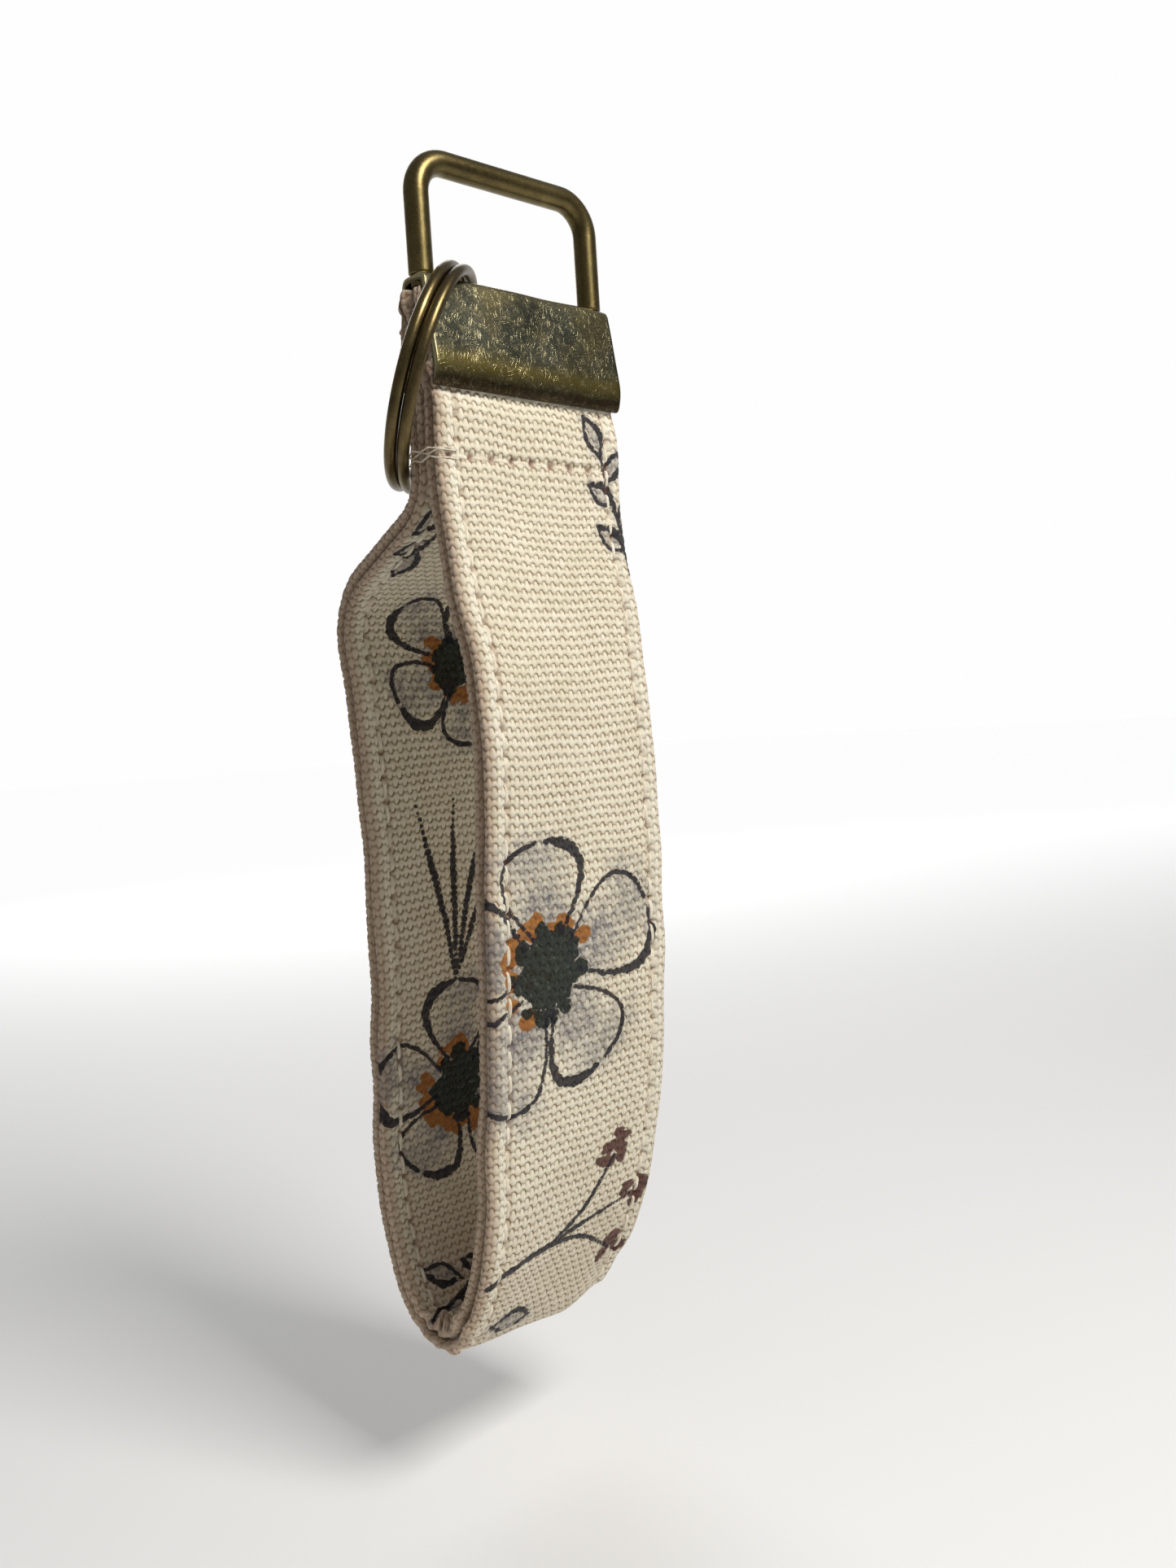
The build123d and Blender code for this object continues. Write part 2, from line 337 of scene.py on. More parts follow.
def strap_points():
    """The strap's surface in metres, its thread counts, and its two kinds of needle holes."""
    scale = np.where(outer_grid > 0, outer_reach()[:, None], HALF_THICK) / HALF_THICK
    rim = HALF_WIDTH - np.abs(x_grid)
    on_face = np.clip(np.abs(n_grid) / HALF_THICK, 0, 1) ** 2
    # Each edge is fuller than the face, which is a little hollow beyond the seam.
    puff = 0.2 * bump(rim, 1.6, 0.85) - 0.05 * bump(rim, 4.2, 1.2)
    free = ramp(drop_grid, CLAMP_HEIGHT, CLAMP_HEIGHT + 4)
    puff = puff + 0.1 * uneven(x_grid, along_grid * 0.8 + 90 * outer_grid) * free
    groove, holes, cross_holes = seam_groove(x_grid, along_grid, drop_grid, outer_grid)
    near = bump(along_grid, TURN_AT, 4.2)
    taut = 1 - 0.9 * near * ramp(x_grid, 2, 11)  # the bend's right end is drawn smooth
    n = n_grid + np.sign(n_grid) * on_face * (puff * free - groove) * taut
    gape = np.clip(0.14 + 0.14 * slit_gape(along_grid, 0), 0.0, 0.5)
    lips = ramp(-x_grid, HALF_WIDTH - SLIT_DEPTH, HALF_WIDTH - 0.3)
    n = n + np.sign(n_grid) * (1 - on_face) * lips * gape
    # The bottom bend crushes the inner plies into folds and creases the outer ones.
    at_left = ramp(-x_grid, -10, HALF_WIDTH)
    folds = np.sin(2 * math.pi * (along_grid - TURN_AT) / 3.0 + 1.1 * uneven(x_grid * 1.6, 5))
    crush = np.where(outer_grid > 0, 0.48 * at_left, -0.25 - 0.95 * at_left)
    n = n + crush * on_face * near * folds
    n = n - np.where(outer_grid > 0, 0, 0.9) * on_face * near * at_left
    # There the left edge is pinched in, after a fold that stands out at the front leg's foot.
    tip = bump(along_grid, TURN_AT - 7.5, 1.7) - 1.5 * bump(along_grid, TURN_AT + 0.5, 5.0)
    tip = tip * (1 + 0.3 * folds) * ramp(-x_grid, HALF_WIDTH - 5, HALF_WIDTH)
    x, y, z = place(x_grid - 0.9 * tip * np.where(outer_grid > 0, 0.7, 1.0), n * scale)
    points = np.stack([x, y, z], axis=2)
    normal = np.cross(np.gradient(points, axis=0), np.gradient(points, axis=1))
    normal /= np.linalg.norm(normal, axis=2)[:, :, None] + 1e-12
    if normal[len(ALONG) // 8, HALF_COUNT // 2, 1] > 0:  # on the front leg's outer face
        normal = -normal
    bow = 0.5 * (x_grid / HALF_WIDTH) ** 2
    rows = (along_grid + bow + 0.25 * uneven(along_grid * 0.7, x_grid)) / ROW_PITCH
    columns = cloth_grid / COLUMN_PITCH + 0.12 * uneven(x_grid * 2, along_grid * 1.5)
    relief = weave(columns, rows)
    in_slit = (np.abs(n_grid) < 0.35) & (x_grid < 0)
    depth = WEAVE_RELIEF * np.where(in_slit, 0.2, 1.0) * (1 - 0.5 * np.maximum(holes, cross_holes))
    points = points + normal * (depth * (relief - 0.6))[:, :, None]
    threads = np.stack([columns, rows, 0 * rows], axis=2)
    return points * MM, threads, holes, cross_holes


# ---- the print ----
# A loose botanical print in ink and wash, made of simple plants drawn by rule.
INKS = 5
LINE, WASH, CENTRE_INK, OCHRE, BERRY = range(INKS)


def ahead(at, heading, distance, size=(1, 1)):
    """The place that far from at; along runs away from the strap's front end."""
    turn = math.radians(heading)
    across = at[0] + distance * size[0] * math.cos(turn)
    return across, at[1] - distance * size[1] * math.sin(turn)


def smooth_line(points, per_span=14):
    """Points on a smooth curve through the given ones (Catmull-Rom)."""
    points = np.array(points, float)
    ends = np.vstack([2 * points[0] - points[1], points, 2 * points[-1] - points[-2]])
    share = np.linspace(0, 1, per_span, endpoint=False)[:, None]
    spans = []
    for a, b, c, d in zip(ends, ends[1:], ends[2:], ends[3:]):
        spans.append(
            0.5 * (2 * b + (c - a) * share + (2 * a - 5 * b + 4 * c - d) * share**2
                   + (3 * b - a - 3 * c + d) * share**3)
        )
    return np.vstack(spans + [points[-1:]])


class Print:
    """Ink on one face of the strap, five layers of cover from 0 to 1."""

    def __init__(self, x, along):
        self.x, self.along = x, along
        self.cover = np.zeros((INKS,) + x.shape)
        self.ragged = waves(26, 0.8, 3.0)

    def near(self, low, high, margin):
        """The vertices inside a box with a margin."""
        return (
            (self.x > low[0] - margin) & (self.x < high[0] + margin)
            & (self.along > low[1] - margin) & (self.along < high[1] + margin)
        )

    def lay(self, ink, where, value):
        """Adds ink where it is stronger than what is there."""
        self.cover[ink][where] = np.maximum(self.cover[ink][where], np.clip(value, 0, 1))

    def stroke(self, points, widths, ink=LINE, ragged=0.07):
        """A brush stroke through the points, as wide as widths along its length."""
        line = smooth_line(points)
        width = np.interp(np.linspace(0, 1, len(line)), np.linspace(0, 1, len(widths)), widths)
        where = self.near(line.min(axis=0), line.max(axis=0), max(widths) + 1)
        x, along = self.x[where], self.along[where]
        gap = np.full(x.shape, 9.0)
        for (px, ps), w in zip(line, width):
            gap = np.minimum(gap, np.hypot(x - px, along - ps) - w / 2)
        gap = gap + ragged * self.ragged(x, along)
        self.lay(ink, where, 0.5 - gap / 0.8)

    def blot(self, at, size, ink, strength=1.0, tilt=0.0, soft=0.8, ragged=0.35):
        """A patch of ink: a ragged ellipse with half-axes size, turned by tilt degrees."""
        reach = max(size) + 1.5
        where = self.near((at[0] - reach, at[1] - reach), (at[0] + reach, at[1] + reach), 0)
        x, along = self.x[where] - at[0], self.along[where] - at[1]
        cos, sin = math.cos(math.radians(tilt)), -math.sin(math.radians(tilt))
        radius = np.hypot((x * cos + along * sin) / size[0], (along * cos - x * sin) / size[1])
        gap = (radius - 1) * min(size) + ragged * self.ragged(x * 0.8, along * 0.8)
        self.lay(ink, where, strength * np.clip(0.5 - gap / soft, 0, 1))

    def wash(self, at, size, strength, tilt=0.0):
        """Thin grey, faded at its rim."""
        self.blot(at, size, WASH, strength, tilt, soft=min(size) * 1.2, ragged=0.9)

    def cluster(self, at, size, count, ink, dot=0.8):
        """Dabs crowded into a round or oval patch."""
        for angle, reach, grow in rng.uniform(0, 1, (round(count), 3)):
            spot = ahead(at, 360 * angle, math.sqrt(reach), size)
            dab = dot * (0.6 + 0.8 * grow)
            self.blot(spot, (dab, dab * 0.85), ink, tilt=360 * reach, ragged=0.2)

    def petal(self, root, heading, length, width):
        """A rounded petal: an outline drawn in two uneven strokes over a wash."""
        shape = [(0.12, 0.16), (0.45, 0.42), (0.75, 0.5), (0.95, 0.33), (1.02, 0.06)]
        bold, fine = (
            [ahead(ahead(root, heading, far * length), heading + 90, side * out * width)
             for far, out in shape]
            for side in (-1, 1)
        )
        near_root = ahead(root, heading, 0.35 * length)
        self.wash(near_root, (0.4 * length, 0.3 * width), 0.95, heading)
        near_tip = ahead(root, heading + 9, 0.88 * length)
        self.wash(near_tip, (0.2 * length, 0.4 * width), 0.8, heading)
        self.stroke(bold, (0.4, 0.7, 1.3, 1.5, 0.6), ragged=0.15)
        self.stroke(fine, (0.45, 0.45, 0.5, 0.6, 0.5), ragged=0.06)

    def flower(self, at, reach, petals, turn, heart):
        """Round petals about a dark heart with ochre stamens."""
        for k in range(petals):
            heading = turn + 360 * k / petals + 6 * math.sin(3 * k)
            length = reach * (1 + 0.1 * math.cos(2.3 * k))
            self.petal(ahead(at, heading, heart * 0.5), heading, length, 0.92 * reach)
        for k in range(9):
            spot = ahead(at, turn + 25 * k + 20, heart * 1.15)
            self.cluster(spot, (1.3, 1.3), 3 + 2 * math.sin(k * k), OCHRE, 1.0)
        self.blot(at, (heart * 0.75, heart * 0.8), CENTRE_INK)
        self.cluster(at, (heart, heart * 1.05), 50, CENTRE_INK, 0.9)
        self.cluster(at, (heart * 0.7, heart * 0.7), 6, OCHRE, 0.4)

    def leaf(self, root, heading, length):
        """A pointed leaf: a grey body and two dark sides."""
        middle = ahead(root, heading, length / 2)
        self.blot(middle, (length * 0.5, length * 0.25), WASH, 0.8, heading, soft=1.2)
        for side, weight in ((-1, 1.1), (1, 0.55)):
            bow = ahead(middle, heading + 90, side * length * 0.24)
            self.stroke([root, bow, ahead(root, heading, length)], (0.4, weight, 0.4), ragged=0.12)

    def sprig(self, root, heading, length, leaves, size, curl):
        """A bent stem with leaves in pairs."""
        stem = [root]
        for k in range(5):
            stem.append(ahead(stem[-1], heading + curl * k / 4, length / 5))
        self.stroke(stem, (0.8, 0.7, 0.5, 0.3))
        for k in range(leaves):
            at = stem[1 + k * 4 // leaves]
            side = 1 if k % 2 else -1
            self.leaf(at, heading + curl * k / leaves + side * 48, size * (1 - 0.05 * k))
        self.leaf(stem[-1], heading + curl, size)

    def berries(self, root, heading, length, arms):
        """A forked stem that carries red-brown fruit at its tips."""
        fork = ahead(root, heading, length * 0.45)
        self.stroke([root, ahead(root, heading + 6, length * 0.22), fork], (1.0, 0.9, 1.0))
        for k in range(arms):
            turn = heading + 46 * (k / (arms - 1) - 0.5) * 2
            knee = ahead(fork, (turn + heading) / 2, length * 0.26)
            tip = ahead(knee, turn, length * 0.3)
            self.stroke([fork, knee, tip], (0.8, 0.7, 0.35))
            for far, side in ((-0.6, 1.3), (0.7, -1.2), (2.4, 0.7)):
                spot = ahead(ahead(tip, turn, far), turn + 90, side)
                self.cluster(spot, (1.2, 1.2), 8, BERRY, 0.72)

    def grass(self, root, heading, length, blades):
        """Dark blades fanned out from one root."""
        for k in range(blades):
            turn = heading + 17 * (k - (blades - 1) / 2)
            knee = ahead(root, heading + 0.7 * (turn - heading), length * 0.5)
            self.stroke([root, knee, ahead(knee, turn + 5, length * 0.55)], (0.5, 0.9, 1.1, 0.3))


# Headings are in degrees from +X, turning towards the strap's front end; places are
# (across, along) in mm.
def paint_outer(p):
    """The print of the outer face, from the front leg round the bend and up the back leg."""
    p.sprig((15.5, 36), 96, 17, 5, 6.2, 14)
    p.flower((-6.5, 89), 15.0, 5, 20, 6.0)
    p.berries((-15, 131), 12, 27, 3)
    p.leaf((-3.5, 141), 175, 8)
    p.leaf((-5.0, 145), 215, 7)
    p.sprig((-12, 170), -62, 22, 5, 6.5, -25)
    p.flower((5.0, 214), 12.5, 5, 75, 4.2)
    p.berries((-14, 250), -35, 25, 3)
    p.sprig((13, 284), 110, 16, 4, 5.5, 20)


def paint_inner(p):
    """The print of the face inside the loop."""
    p.sprig((9, 70), 80, 22, 5, 6.0, 25)
    p.berries((-12, 116), 25, 24, 3)
    p.leaf((-5, 151), 170, 8)
    p.leaf((-7, 155), 205, 6.5)
    p.sprig((12, 160), 168, 25, 5, 5.0, -18)
    p.flower((-2.5, 184), 12.0, 5, 50, 5.0)
    p.grass((-3, 200), -82, 25, 4)
    p.flower((2.0, 246), 10.5, 5, 10, 3.8)
    p.sprig((-13, 284), 72, 15, 4, 6.0, 25)


def strap_print():
    """The five layers of ink over the strap's grid."""
    cover = np.zeros((INKS,) + x_grid.shape)
    for side, paint in ((outer_grid > 0, paint_outer), (outer_grid == 0, paint_inner)):
        face = Print(x_grid[side], along_grid[side])
        paint(face)
        cover[:, side] = face.cover
    return cover


# ---- mesh helpers ----
def mesh_object(name, points, faces, smooth=True):
    """A new mesh piece that rides with the strap and the clamp."""
    mesh = bpy.data.meshes.new(name)
    mesh.from_pydata(np.asarray(points).reshape(-1, 3).tolist(), [], faces)
    mesh.validate()
    mesh.polygons.foreach_set("use_smooth", [smooth] * len(mesh.polygons))
    mesh.update()
    piece = bpy.data.objects.new(name, mesh)
    bpy.context.scene.collection.objects.link(piece)
    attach(piece, ROOT)
    return piece


def tube_faces(rows, columns, start=0):
    """Faces of a capped tube of rows rings with columns points each, from vertex start."""
    row, column = np.meshgrid(np.arange(rows - 1), np.arange(columns), indexing="ij")
    after = (column + 1) % columns
    quads = np.stack(
        [row * columns + column, row * columns + after,
         (row + 1) * columns + after, (row + 1) * columns + column], axis=2,
    ).reshape(-1, 4) + start
    last = start + (rows - 1) * columns
    caps = [list(range(start + columns - 1, start - 1, -1)), list(range(last, last + columns))]
    return quads.tolist() + caps


def set_attribute(piece, name, values):
    """Gives each vertex a number, or a colour of three numbers."""
    values = np.asarray(values, np.float32)
    if values.ndim == 1:
        piece.data.attributes.new(name, "FLOAT", "POINT").data.foreach_set("value", values)
    else:
        rgba = np.c_[values, np.ones(len(values), np.float32)]
        layer = piece.data.color_attributes.new(name, "FLOAT_COLOR", "POINT")
        layer.data.foreach_set("color", rgba.ravel())


# ---- materials ----
class Shader:
    """Builds a material's nodes. A node's inputs are numbers, colours or other outputs."""

    def __init__(self, name):
        self.material = bpy.data.materials.new(name)
        self.material.use_nodes = True
        self.tree = self.material.node_tree
        self.principled = self.tree.nodes["Principled BSDF"]

    def put(self, node, inputs):
        """Sets or links a node's inputs, given by name or number."""
        for key, value in inputs.items():
            socket = node.inputs[key]
            if isinstance(value, bpy.types.NodeSocket):
                self.tree.links.new(value, socket)
            elif socket.type == "RGBA":
                socket.default_value = (*value, 1)
            else:
                socket.default_value = value

    def node(self, kind, inputs=None, **settings):
        """A new node of that kind."""
        made = self.tree.nodes.new(kind)
        for key, value in settings.items():
            setattr(made, key, value)
        self.put(made, inputs or {})
        return made

    def surface(self, **inputs):
        """Sets the principled shader's inputs; underscores stand for spaces."""
        self.put(self.principled, {key.replace("_", " "): v for key, v in inputs.items()})

    def math(self, operation, *values, clamp=False):
        """The result of a math node."""
        inputs = dict(enumerate(values))
        node = self.node("ShaderNodeMath", inputs, operation=operation, use_clamp=clamp)
        return node.outputs[0]

    def mix(self, share, low, high):
        """Two colours mixed."""
        node = self.node("ShaderNodeMix", data_type="RGBA")
        self.put(node, {0: share, 6: low, 7: high})
        return node.outputs[2]

    def step(self, value, low, high):
        """0 to 1 as the value goes from low to high."""
        inputs = {0: value, 1: low, 2: high}
        node = self.node("ShaderNodeMapRange", inputs, interpolation_type="SMOOTHSTEP")
        return node.outputs[0]

    def place(self, scale=(1, 1, 1), turn=0.0):
        """Object coordinates in millimetres, turned about Y by degrees, then times scale."""
        at = self.node("ShaderNodeTexCoord").outputs["Object"]
        node = self.node("ShaderNodeMapping", {"Vector": at}, vector_type="TEXTURE")
        node.inputs["Rotation"].default_value = (0, math.radians(turn), 0)
        node.inputs["Scale"].default_value = [MM / s for s in scale]
        return node.outputs[0]

    def noise(self, size, detail=3.0, rough=0.55, scale=(1, 1, 1), warp=0.0, turn=0.0):
        """Noise with features of that size in millimetres."""
        node = self.node("ShaderNodeTexNoise", {
            "Vector": self.place(scale, turn), "Scale": 1 / size, "Detail": detail,
            "Roughness": rough, "Distortion": warp})
        return node.outputs[0]

    def attribute(self, name, output="Fac"):
        """A vertex attribute."""
        return self.node("ShaderNodeAttribute", attribute_name=name).outputs[output]

    def relief(self, height, depth, strength):
        """A bumped normal, depth in millimetres."""
        inputs = {"Height": height, "Strength": strength, "Distance": depth * MM}
        return self.node("ShaderNodeBump", inputs).outputs[0]


def weave_height(m):
    """The weave's height, as in weave(), and 1 along one side of each swing of its gaps, the side
    that takes painted shade under the thread above.
    """
    counts = m.node("ShaderNodeSeparateColor", {0: m.attribute("threads", "Color")})
    column, row = counts.outputs[0], counts.outputs[1]
    gap = m.math("ROUND", row)
    turn = m.math("MULTIPLY", m.math("ADD", m.math("SUBTRACT", column, 0.5), gap), math.pi)
    swing = m.math("MULTIPLY", m.math("COSINE", turn), ZIGZAG_STEEP)
    swing = m.math("MAXIMUM", -1.0, m.math("MINIMUM", swing, 1.0))
    off = m.math("ADD", m.math("SUBTRACT", row, gap), m.math("MULTIPLY", swing, ZIGZAG))

    def fall(distance, reach):
        """1 at no distance, falling straight to 0 at reach."""
        return m.math("SUBTRACT", 1.0, m.math("DIVIDE", distance, reach), clamp=True)

    away = fall(m.math("ABSOLUTE", off), GAP_REACH)
    arch = m.math("SQRT", m.math("SUBTRACT", 1.0, m.math("MULTIPLY", away, away), clamp=True))
    beside = m.math("ABSOLUTE", m.math("SUBTRACT", column, m.math("ROUND", column)))
    dip = m.math("MULTIPLY", fall(beside, DIP_HALF), fall(off, DIP_LENGTH))
    dip = m.math("MULTIPLY", dip, m.step(off, *DIP_EDGE))
    height = m.math("SUBTRACT", arch, dip, clamp=True)
    return height, m.step(m.math("SINE", m.math("SUBTRACT", 0.3, turn)), -0.3, 0.9)


# Linear red, green and blue.
CREAM, PALE_CREAM, WHITISH = (0.755, 0.685, 0.525), (0.82, 0.755, 0.60), (0.90, 0.845, 0.70)
# Painted shade: the gap brown in the weave's gaps and the hole brown in the needle holes.
GAP_SHADE_BROWN, SLUB_BROWN, HOLE_SHADE_BROWN = (0.31, 0.225, 0.13), (0.34, 0.24, 0.15), (0.22, 0.10, 0.065)
# Painted shade in brown and a painted highlight in pale, for the canvas.
CANVAS_SHADE_BROWN, CANVAS_HIGHLIGHT_PALE = (0.37, 0.23, 0.15), (0.93, 0.885, 0.76)
WASH_GREY = (0.155, 0.148, 0.168)
OCHRES = (0.27, 0.085, 0.010), (0.42, 0.175, 0.028)
BERRY_BROWNS = (0.050, 0.014, 0.012), (0.14, 0.048, 0.034)
CENTRE_DARKS, CENTRE_FLECK = ((0.006, 0.010, 0.008), (0.022, 0.032, 0.024)), (0.13, 0.16, 0.13)
LINE_BLACKS = (0.008, 0.007, 0.012), (0.035, 0.032, 0.042)
THREAD_CREAMS = (0.72, 0.635, 0.49), (0.92, 0.855, 0.71)
LINING_WHITES = (0.72, 0.71, 0.68), (0.86, 0.85, 0.82)


def canvas_material():
    """Cream canvas with its print: painted shade makes the weave's gaps and needle holes darker
    than its threads, and painted shade and a painted highlight mark its edges, seams, slit, bottom
    and inside.
    """
    m = Shader("printed_canvas")
    relief, shaded_side = weave_height(m)
    wear_and_painted_light = m.attribute("wear_and_painted_light")
    tone = m.step(m.noise(14, 2), 0.3, 0.75)
    cloth = m.mix(tone, CREAM, PALE_CREAM)
    cloth = m.mix(m.step(m.noise(1.6, 4, 0.7), 0.35, 0.8), cloth, WHITISH)
    # Painted shade in the weave's gaps, strongest on the side under each swing's upper thread.
    gap = m.math("SUBTRACT", 1.0, m.step(relief, 0.25, 1.0))
    gap = m.math("MULTIPLY", gap, m.math("ADD", 0.68, m.math("MULTIPLY", shaded_side, 0.5)))
    gap = m.math("MULTIPLY", gap, m.math("ADD", 0.4, m.noise(2.2, 3, 0.7)))
    cloth = m.mix(gap, cloth, GAP_SHADE_BROWN)
    slub = m.step(m.noise(0.9, 2, 0.5, (1, 1, 0.5)), 0.735, 0.77)
    cloth = m.mix(m.math("MULTIPLY", slub, 0.55), cloth, SLUB_BROWN)
    # Painted shade in brown above 0 and a painted highlight in pale below 0.
    cloth = m.mix(m.math("MULTIPLY", wear_and_painted_light, 0.65, clamp=True), cloth, CANVAS_SHADE_BROWN)
    cloth = m.mix(m.math("MULTIPLY", wear_and_painted_light, -1.0, clamp=True), cloth, CANVAS_HIGHLIGHT_PALE)
    inks = m.node("ShaderNodeSeparateColor", {0: m.attribute("ink", "Color")})
    tints = m.node("ShaderNodeSeparateColor", {0: m.attribute("tint", "Color")})
    grain = m.math("MULTIPLY", m.math("SUBTRACT", m.noise(0.5, 3, 0.7), 0.5), 0.45)
    grain = m.math("ADD", grain, m.math("MULTIPLY", m.math("SUBTRACT", relief, 0.45), 0.2))
    mottle = m.step(m.noise(1.1, 4, 0.75), 0.34, 0.72)
    fleck = m.step(m.noise(0.7, 3, 0.7), 0.56, 0.72)

    def cover(layer, low, high, strength):
        """The layer's ink where it is thick enough, broken up by the weave."""
        edge = m.step(m.math("ADD", layer, grain), low, high)
        return m.math("MULTIPLY", edge, strength, clamp=True)

    thin = m.math("ADD", 0.35, m.math("MULTIPLY", mottle, 0.7))
    cloth = m.mix(m.math("MULTIPLY", inks.outputs[1], thin, clamp=True), cloth, WASH_GREY)
    ochre = m.mix(mottle, *OCHRES)
    cloth = m.mix(cover(tints.outputs[0], 0.3, 0.55, 0.93), cloth, ochre)
    berry = m.mix(mottle, *BERRY_BROWNS)
    cloth = m.mix(cover(tints.outputs[1], 0.3, 0.55, 0.94), cloth, berry)
    dark = m.mix(mottle, *CENTRE_DARKS)
    dark = m.mix(m.math("MULTIPLY", fleck, 0.55), dark, CENTRE_FLECK)
    cloth = m.mix(cover(inks.outputs[2], 0.32, 0.52, 0.96), cloth, dark)
    line = m.mix(mottle, *LINE_BLACKS)
    cloth = m.mix(cover(inks.outputs[0], 0.36, 0.54, 0.95), cloth, line)
    # Painted shade in the needle holes.
    hole = m.math("MULTIPLY", m.attribute("hole"), 0.95, clamp=True)
    cloth = m.mix(hole, cloth, HOLE_SHADE_BROWN)
    fibre = m.math("ADD", m.noise(0.16, 3, 0.7), m.math("MULTIPLY", relief, 1.6))
    m.surface(Base_Color=cloth, Roughness=0.92, Normal=m.relief(fibre, 0.07, 0.7))
    m.surface(Specular_IOR_Level=0.18, Sheen_Weight=0.12, Sheen_Roughness=0.45)
    return m.material


def thread_material():
    """Cream spun thread."""
    m = Shader("sewing_thread")
    tone = m.step(m.noise(1.2, 3), 0.3, 0.7)
    m.surface(Base_Color=m.mix(tone, *THREAD_CREAMS), Roughness=0.8)
    twist = m.node("ShaderNodeTexWave", {"Vector": m.place(), "Scale": 1.1, "Distortion": 1.5})
    m.surface(Normal=m.relief(twist.outputs[1], 0.06, 0.7))
    m.surface(Sheen_Weight=0.25, Specular_IOR_Level=0.3)
    return m.material


def interlining_material():
    """Stiff white non-woven."""
    m = Shader("nonwoven_interlining")
    fibre = m.noise(0.5, 5, 0.7, warp=1.5)
    m.surface(Base_Color=m.mix(fibre, *LINING_WHITES), Roughness=0.9)
    m.surface(Normal=m.relief(fibre, 0.06, 0.6))
    return m.material


SHEET_PATINA, SHEET_OLIVE = (0.054, 0.058, 0.045), (0.112, 0.098, 0.048)
# On the next line the gold is a painted highlight on the clamp's bulge, and the darkest brown is
# painted shade on its lip, right end and inside.
SHEET_BRASS, BULGE_HIGHLIGHT_GOLD, CLAMP_SHADE_DARK = (0.49, 0.42, 0.23), (0.20, 0.155, 0.038), (0.028, 0.018, 0.009)
BAIL_PATINA, RING_PATINA = (0.100, 0.077, 0.032), (0.092, 0.068, 0.031)
WIRE_BRASS = (0.40, 0.31, 0.125)
HAIRLINES = ((0.55, -62), (0.4, -25), (0.5, 8), (0.35, 35), (0.45, 74))  # mm, degrees


def brass_material(name, dark, metal, scratched, sheet=False):
    """Antiqued brass: a dark patina, rubbed through to metal in hairlines and on edges; on the
    sheet also painted highlights and painted shade.
    """
    m = Shader(name)
    speck = m.noise(0.3, 4, 0.75)
    shown = m.math("MULTIPLY", m.step(m.noise(4.5, 4, 0.65, warp=0.6), 0.45, 0.85), 0.22)
    shown = m.math("ADD", shown, m.math("MULTIPLY", m.step(speck, 0.45, 0.75), 0.2))
    hair = None
    for size, turn in HAIRLINES:
        field = m.noise(size, 1.0, 0.5, (1.0, 0.5, 0.11), warp=0.2, turn=turn)
        line = m.step(m.math("ABSOLUTE", m.math("SUBTRACT", field, 0.5)), 0.002, 0.024)
        line = m.math("SUBTRACT", 1.0, line)
        line = m.math("MULTIPLY", line, m.step(m.noise(1.3, 2, turn=turn), 0.48, 0.64))
        hair = line if hair is None else m.math("MAXIMUM", hair, line)
    shown = m.math("ADD", shown, m.math("MULTIPLY", hair, scratched), clamp=True)
    tone = m.step(m.noise(5, 3), 0.3, 0.7)
    low = m.mix(tone, dark, [1.5 * value for value in dark])
    if sheet:
        # A painted highlight on the left end's edge, and rubbed metal along the top fold.
        shown = m.math("ADD", shown, m.attribute("wear_and_painted_light"), clamp=True)
        low = m.mix(m.step(m.noise(9, 2), 0.42, 0.62), low, SHEET_OLIVE)
        # A painted highlight in gold along the bulge.
        low = m.mix(m.attribute("bulge_highlight"), low, BULGE_HIGHLIGHT_GOLD)
        # Painted shade darkens the lip, the right end and the inside, and hides their metal.
        clamp_shade = m.attribute("clamp_shade")
        low = m.mix(clamp_shade, low, CLAMP_SHADE_DARK)
        unshaded = m.math("SUBTRACT", 1.0, m.math("MULTIPLY", clamp_shade, 0.8))
        shown = m.math("MULTIPLY", shown, unshaded)
    colour = m.mix(shown, low, metal)
    rough = m.node("ShaderNodeMapRange", {0: shown, 1: 0.0, 2: 1.0, 3: 0.33, 4: 0.24})
    rough = m.math("ADD", rough.outputs[0], m.math("MULTIPLY", m.math("SUBTRACT", speck, 0.5), 0.2))
    pits = m.math("SUBTRACT", m.math("MULTIPLY", speck, 0.6), m.math("MULTIPLY", hair, scratched))
    m.surface(Base_Color=colour, Roughness=rough, Metallic=1.0, Normal=m.relief(pits, 0.02, 0.5))
    return m.material


